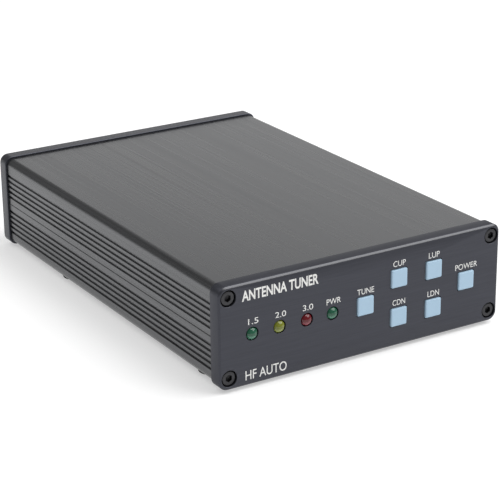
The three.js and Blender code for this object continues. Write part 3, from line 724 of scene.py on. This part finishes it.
def add_socket(name, nickel, ptfe, silver, steel):
    shell = f"{name}_socket_shell"
    middle = centre(shell)
    flange = high(shell).x - low(shell).x
    mouth = high(shell).y - REAR_FACE
    rear = low(shell).y - REAR_FACE
    floor = mouth - MOUTH_DEPTH
    thread_radius, root = 7.9, 0.55
    ease = 0.2
    bm = bmesh.new()
    plate = [
        rounded_rectangle(flange, flange, 2, 0, 8),
        rounded_rectangle(flange, flange, 2, FLANGE_THICKNESS - ease, 8),
        rounded_rectangle(flange - 2 * ease, flange - 2 * ease, 2 - ease, FLANGE_THICKNESS, 8),
    ]
    edge = skin(bm, plate)
    barrel = lathe_rings([(6.1, 0), (6.1, rear), (5.0, rear), (5.0, floor - 2.5), (BARREL_BORE, floor - 2.5)])
    barrel += lathe_rings([(BARREL_BORE, mouth - 0.3), (BARREL_BORE + 0.3, mouth), (7.2, mouth)])
    barrel += thread_rings(thread_radius, root, 1.058, mouth - 0.3, FLANGE_THICKNESS + 1.2)
    barrel += lathe_rings([(thread_radius - root, FLANGE_THICKNESS + 0.5),
                           (thread_radius - 0.1, FLANGE_THICKNESS)])
    tube = skin(bm, barrel)
    holes = []
    for sx in (-1, 1):
        for sz in (-1, 1):
            at = (sx * FLANGE_SCREW_OFFSET, 0, sz * FLANGE_SCREW_OFFSET)
            holes.append(skin(bm, lathe_rings([(1.65, 0), (1.65, FLANGE_THICKNESS)], 24), at=at))
    fill(bm, edge[0], tube[0], *[hole[0] for hole in holes])
    fill(bm, edge[-1], tube[-1], *[hole[-1] for hole in holes])
    place = (middle.x, REAR_FACE, middle.z)
    stands_for(finish_piece(f"{shell}_body", bm, nickel, place), shell)

    insulator = f"{name}_socket_insulator"
    wide, narrow, inner = BARREL_BORE - 0.05, 4.95, 2.75
    back = low(insulator).y - REAR_FACE
    profile = [(inner, back), (narrow, back), (narrow, floor - 2.45), (wide, floor - 2.45),
               (wide, floor - 0.2), (wide - 0.2, floor), (inner + 0.9, floor), (inner + 0.7, floor - 0.3),
               (inner, floor - 0.3)]
    bm = bmesh.new()
    skin(bm, lathe_rings(profile), closed=True)
    stands_for(finish_piece(f"{insulator}_disc", bm, ptfe, place), insulator)

    contact = f"{name}_socket_contact"
    end = low(contact).y - REAR_FACE
    radius, bore = 2.65, 2.05
    petals = 4
    slot_depth = 5.0
    bm = bmesh.new()
    base = floor - slot_depth
    profile = [(0, end + 3), (1.2, end + 3), (1.2, end), (radius - 0.8, end), (radius - 0.8, end + 4),
               (radius, end + 4.5), (radius, base), (bore, base), (bore, floor - 9), (0, floor - 9)]
    skin(bm, lathe_rings(profile))
    for k in range(petals):
        half = TAU / petals / 2 - 0.09
        section = []
        for r, direction in ((radius, 1), (bore, -1)):
            steps = 9
            for i in range(steps + 1):
                angle = TAU * k / petals + direction * half * (2 * i / steps - 1)
                section.append((r, angle))
        rings = [[Vector((r * math.cos(a), y, r * math.sin(a))) for r, a in section]
                 for y in (base, floor - 0.15)]
        rings.append([Vector(((r * 0.98) * math.cos(a), floor, (r * 0.98) * math.sin(a)))
                      for r, a in section])
        ends = skin(bm, rings)
        bm.faces.new(ends[0])
        bm.faces.new(ends[-1])
    stands_for(finish_piece(f"{contact}_finger", bm, silver, place), contact)

    for k, (sx, sz) in enumerate([(-1, -1), (-1, 1), (1, -1), (1, 1)]):
        at = (middle.x + sx * FLANGE_SCREW_OFFSET, REAR_FACE + FLANGE_THICKNESS,
              middle.z + sz * FLANGE_SCREW_OFFSET)
        rings = [[Vector((0, 1.0, 0))], hexagon(2.0, 1.15), hexagon(2.0, 1.75), circle(1.35, 1.85)]
        rings += lathe_rings([(1.7, 1.75), (2.4, 1.3), (2.75, 0.6), (2.8, 0.02), (1.45, 0.02)])
        rings += thread_rings(1.45, 0.2, 0.5, -0.1, -5.5)
        rings += lathe_rings([(0, -6)])
        bm = bmesh.new()
        skin(bm, rings)
        screw = finish_piece(f"{name}_socket_screw_{k + 1}", bm, steel, at)
        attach(screw, "case")


def add_ground_terminal(steel):
    middle = centre("ground_stud")
    reach = high("ground_stud").y - REAR_FACE
    head = low("ground_stud").y - REAR_FACE
    radius = 1.95
    rings = lathe_rings([(0, head), (2.9, head), (3.7, head + 0.7), (3.7, -PANEL_THICKNESS),
                         (radius, -PANEL_THICKNESS)])
    rings += thread_rings(radius, 0.28, 0.7, -PANEL_THICKNESS + 0.5, reach - 0.45)
    rings += lathe_rings([(radius - 0.5, reach), (0, reach)])
    bm = bmesh.new()
    skin(bm, rings)
    place = (middle.x, REAR_FACE, middle.z)
    stands_for(finish_piece("ground_stud_screw", bm, steel, place), "ground_stud")

    seat, top = low("ground_washer").y - REAR_FACE, high("ground_washer").y - REAR_FACE
    outer, inner = (high("ground_washer").x - low("ground_washer").x) / 2, 2.2
    ease = 0.12
    profile = [(inner, seat + ease), (inner + ease, seat), (outer - ease, seat), (outer, seat + ease),
               (outer, top - ease), (outer - ease, top), (inner + ease, top), (inner, top - ease)]
    bm = bmesh.new()
    skin(bm, lathe_rings(profile), closed=True)
    stands_for(finish_piece("ground_washer_ring", bm, steel, place), "ground_washer", "ground_washer")


def applied(obj):
    """Replaces the object's mesh by the result of its modifiers."""
    evaluated = obj.evaluated_get(bpy.context.evaluated_depsgraph_get())
    mesh = bpy.data.meshes.new_from_object(evaluated)
    obj.modifiers.clear()
    obj.data = mesh
    return obj


def add_wing_nut(steel):
    """A cast wing nut: hub and wings merged and softened, then bored."""
    nut = "ground_wing_nut"
    middle = centre("ground_stud")
    base = low(nut).y
    span = high(nut).x - low(nut).x
    height = high(nut).y - base
    bm = bmesh.new()
    skin(bm, lathe_rings([(0, 0.05), (3.9, 0.05), (3.9, 0.6), (3.2, 4.5), (0, 4.5)], 40))
    outline = [(1.5, 0.9), (4.6, 0.9)]
    outline += [(4.6 + 4.6 * t, 0.9 + 4.3 * t ** 0.8) for t in (0.25, 0.5, 0.75)]
    outline += arc((span / 2 - 2.1, height - 2.2), 2.0, -0.6, 1.2, 10)
    outline += [(6.2, 7.2), (4.6, 5.6), (3.2, 4.3), (1.5, 4.0)]
    for side in (-1, 1):
        rings = [[Vector((side * x, y, z)) for x, y in outline] for z in (-0.85, 0.85)]
        ends = skin(bm, rings)
        bm.faces.new(ends[0])
        bm.faces.new(ends[1])
    obj = finish_piece("ground_wing_nut_casting", bm, steel, (middle.x, base, middle.z))
    remesh = obj.modifiers.new("merge", "REMESH")
    remesh.mode = "VOXEL"
    remesh.voxel_size = 0.24 * MM
    soften = obj.modifiers.new("soften", "SMOOTH")
    soften.factor = 0.5
    soften.iterations = 8
    applied(obj)

    bm = bmesh.new()
    skin(bm, lathe_rings([(0, -1), (2.5, -1), (2.5, 0.1), (2.12, 0.5), (2.12, height), (0, height)], 40))
    drill = finish_piece("drill", bm, steel, (middle.x, base, middle.z))
    hole = obj.modifiers.new("bore", "BOOLEAN")
    hole.object = drill
    hole.solver = "EXACT"
    applied(obj)
    bpy.data.objects.remove(drill)
    obj.data.polygons.foreach_set("use_smooth", [True] * len(obj.data.polygons))
    obj.data.set_sharp_from_angle(angle=math.radians(40))
    stands_for(obj, nut, nut)


def add_dc_jack(black, nickel, pin_metal):
    middle = centre("dc_jack")
    place = (middle.x, REAR_FACE, middle.z)
    mouth = high("dc_jack").y - REAR_FACE
    back = low("dc_jack").y - REAR_FACE
    floor = mouth - 9.5
    rings = lathe_rings([(0, floor), (3.1, floor), (3.1, mouth - 0.4), (3.35, mouth), (3.6, mouth)])
    rings += thread_rings(3.9, 0.3, 0.75, mouth - 0.2, -PANEL_THICKNESS + 0.2)
    rings += lathe_rings([(5.2, -PANEL_THICKNESS), (5.2, back + 1.5), (3.4, back), (0, back)])
    bm = bmesh.new()
    skin(bm, rings)
    stands_for(finish_piece("dc_jack_barrel", bm, black, place), "dc_jack")

    bm = bmesh.new()
    pin = [(0, mouth - 1.05), (0.75, mouth - 1.2), (1.05, mouth - 1.7), (1.05, floor + 0.02),
           (0, floor + 0.02)]
    skin(bm, lathe_rings(pin, 24))
    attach(finish_piece("dc_jack_pin", bm, pin_metal, place), "case")

    nut_low, nut_high = low("dc_jack_nut").y - REAR_FACE, high("dc_jack_nut").y - REAR_FACE
    flats = high("dc_jack_nut").x - low("dc_jack_nut").x
    ease = 0.35
    rings = [
        circle(4.0, nut_low), circle(flats / 2 - 0.1, nut_low), hexagon(flats, nut_low + ease),
        hexagon(flats, nut_high - ease), circle(flats / 2 - 0.1, nut_high), circle(4.3, nut_high),
        circle(4.0, nut_high - 0.3),
    ]
    bm = bmesh.new()
    skin(bm, rings, closed=True)
    turn = Matrix.Rotation(TAU / 12, 4, "Y")
    stands_for(finish_piece("dc_jack_ring_nut", bm, nickel, place, turn), "dc_jack_nut")


# CAD nodes that keep their shape: a weld, a fine bevel and a finish

def dress(name, material, ease=0.15, sharp=35):
    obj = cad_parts[name]
    obj.data.materials.clear()
    obj.data.materials.append(material)
    obj.data.polygons.foreach_set("use_smooth", [True] * len(obj.data.polygons))
    weld = obj.modifiers.new("weld", "WELD")
    weld.merge_threshold = 0.000002
    if ease:
        bevel = obj.modifiers.new("ease", "BEVEL")
        bevel.width = ease * MM
        bevel.segments = 2
        bevel.limit_method = "ANGLE"
        bevel.angle_limit = math.radians(sharp)


def dress_inside():
    laminate = grained("green_board_laminate", (0.018, 0.11, 0.04), 0.4, stretch=(1200, 1200, 1200),
                       contrast=0.18, rough_contrast=0.08)
    black = plastic("black_moulding", (0.02, 0.02, 0.021))
    cream = plastic("cream_relay_plastic", (0.75, 0.72, 0.62))
    red_core = grained("red_core_coating", (0.42, 0.035, 0.025), 0.6, stretch=(1600, 1600, 1600),
                       contrast=0.2)
    ferrite = grained("grey_ferrite", (0.055, 0.055, 0.06), 0.7, stretch=(1600, 1600, 1600), contrast=0.3)
    copper = metal("enamelled_copper", (0.55, 0.2, 0.07), 0.28)
    tinned = metal("tinned_copper", (0.6, 0.59, 0.56), 0.35)
    blue = plastic("blue_dipped_ceramic", (0.06, 0.13, 0.4), 0.3)
    sleeve = plastic("blue_shrink_sleeve", (0.02, 0.04, 0.14), 0.3)
    for board in ("display_board", "main_board"):
        dress(board, laminate)
    for name in BUTTONS:
        dress(f"{name}_switch", black)
    for part in ("board_connector", "microcontroller", "voltage_regulator"):
        dress(part, black)
    for bank in ("inductor_relay_bank", "capacitor_relay_bank"):
        dress(bank, cream, ease=0.3)
    dress("capacitor_bank", blue, ease=0.8)
    for toroid in ("large_toroid", "small_toroid"):
        dress(f"{toroid}_core", red_core, ease=0.6)
        dress(f"{toroid}_winding", copper, ease=0)
    dress("air_coil", copper, ease=0)
    dress("bridge_core", ferrite, ease=0.4)
    for line in ("transceiver_line", "antenna_line"):
        dress(line, tinned, ease=0)
    dress("filter_capacitor", sleeve, ease=0.1)


# Assembly

def build():
    shell = anodised_shell()
    panel = [anodised_panel(), painted_highlight_edge()]
    screw_steel = black_steel()
    rubber = foot_rubber()
    blue_cap = cap_plastic()
    white_ink = ink()
    steel = metal("stainless_steel", (0.5, 0.5, 0.5), 0.3)
    nickel = metal("bright_nickel", (0.66, 0.64, 0.6), 0.22)
    silver = metal("silver_plate", (0.8, 0.78, 0.72), 0.22)
    ptfe = plastic("white_ptfe", (0.82, 0.81, 0.77), 0.4)
    black = plastic("black_jack_moulding", (0.02, 0.02, 0.021))
    lenses = {
        "green": tinted_lens("green_lens", (0.016, 0.10, 0.055), (0.10, 0.30, 0.20)),
        "yellow": tinted_lens("yellow_lens", (0.18, 0.2, 0.02), (0.37, 0.42, 0.12)),
        "red": tinted_lens("red_lens", (0.125, 0.005, 0.01), (0.3, 0.06, 0.08)),
    }

    add_shell("lower_shell", False, shell)
    add_shell("upper_shell", True, shell)
    add_front_panel(panel)
    add_rear_panel(panel)
    for corner in CORNERS:
        front, rear = f"front_screw_{corner}", f"rear_screw_{corner}"
        add_cap_screw(front, None, low(front).y, screw_steel)
        add_cap_screw(rear, TURN_ROUND, high(rear).y, screw_steel)
    for end in ("front", "rear"):
        for side in SIDES:
            add_foot(f"foot_{end}_{side}", rubber)
    for name in BUTTONS:
        add_button(name, blue_cap)
    for name, colour in LAMPS.items():
        add_lamp(name, lenses[colour], silver)
    add_front_lettering(white_ink)
    add_rear_lettering(white_ink)
    for name in SOCKETS:
        add_socket(name, nickel, ptfe, silver, steel)
    add_ground_terminal(steel)
    add_wing_nut(steel)
    add_dc_jack(black, nickel, nickel)
    dress_inside()


# Floor, light and camera

def add_floor():
    mesh = bpy.data.meshes.new("floor")
    half = 6.0
    corners = [(-half, -half, 0), (half, -half, 0), (half, half, 0), (-half, half, 0)]
    mesh.from_pydata(corners, [], [(0, 1, 2, 3)])
    material = grained("pale_floor", (0.6, 0.6, 0.6), 0.7, stretch=(6, 6, 6), contrast=0.004,
                       rough_contrast=0.02, depth=0.0, strength=0.0,
                       Emission_Color=(1, 1, 1, 1), Emission_Strength=0.45)
    mesh.materials.append(material)
    floor = bpy.data.objects.new("floor", mesh)
    bpy.context.scene.collection.objects.link(floor)


def add_light(name, at, size, power, aim=(0, 0, 0.02)):
    data = bpy.data.lights.new(name, "AREA")
    data.shape = "RECTANGLE"
    data.size, data.size_y = size
    data.energy = power
    light = bpy.data.objects.new(name, data)
    light.location = at
    light.rotation_mode = "QUATERNION"
    light.rotation_quaternion = (Vector(at) - Vector(aim)).to_track_quat("Z", "Y")
    bpy.context.scene.collection.objects.link(light)


def add_lights():
    world = bpy.data.worlds.new("studio")
    world.use_nodes = True
    background = world.node_tree.nodes["Background"]
    background.inputs["Color"].default_value = (1, 1, 1, 1)
    background.inputs["Strength"].default_value = 0.24
    bpy.context.scene.world = world
    add_light("key_softbox", (0.75, -0.45, 1.35), (1.7, 1.7), 34)
    add_light("back_softbox", (1.1, 1.5, 0.54), (1.5, 0.9), 2.6)
    add_light("left_softbox", (-1.5, 0.55, 0.25), (0.4, 0.4), 0.6)
    add_light("floor_fill", (-0.9, 0.2, 1.7), (1.0, 1.0), 9)


def add_camera():
    """Seen from in front, to the left and above."""
    azimuth, elevation, roll = math.radians(-31.38), math.radians(20.743), math.radians(-0.595)
    panel_foot = Vector((0, FRONT_FACE, PANEL_BOTTOM))
    from_panel_foot = Vector((-359.4, -507.7, 277.3))
    back = Vector((math.sin(azimuth) * math.cos(elevation), -math.cos(azimuth) * math.cos(elevation),
                   math.sin(elevation)))
    data = bpy.data.cameras.new("camera")
    data.lens = 130.2
    data.sensor_width = 36
    data.clip_start = 0.05
    data.clip_end = 50
    camera = bpy.data.objects.new("camera", data)
    camera.location = (panel_foot + from_panel_foot) * MM
    camera.rotation_mode = "QUATERNION"
    camera.rotation_quaternion = back.to_track_quat("Z", "Y") @ Quaternion((0, 0, 1), roll)
    bpy.context.scene.collection.objects.link(camera)
    bpy.context.scene.camera = camera


add_camera()
add_floor()
add_lights()
build()
bpy.context.scene.view_settings.view_transform = "Standard"
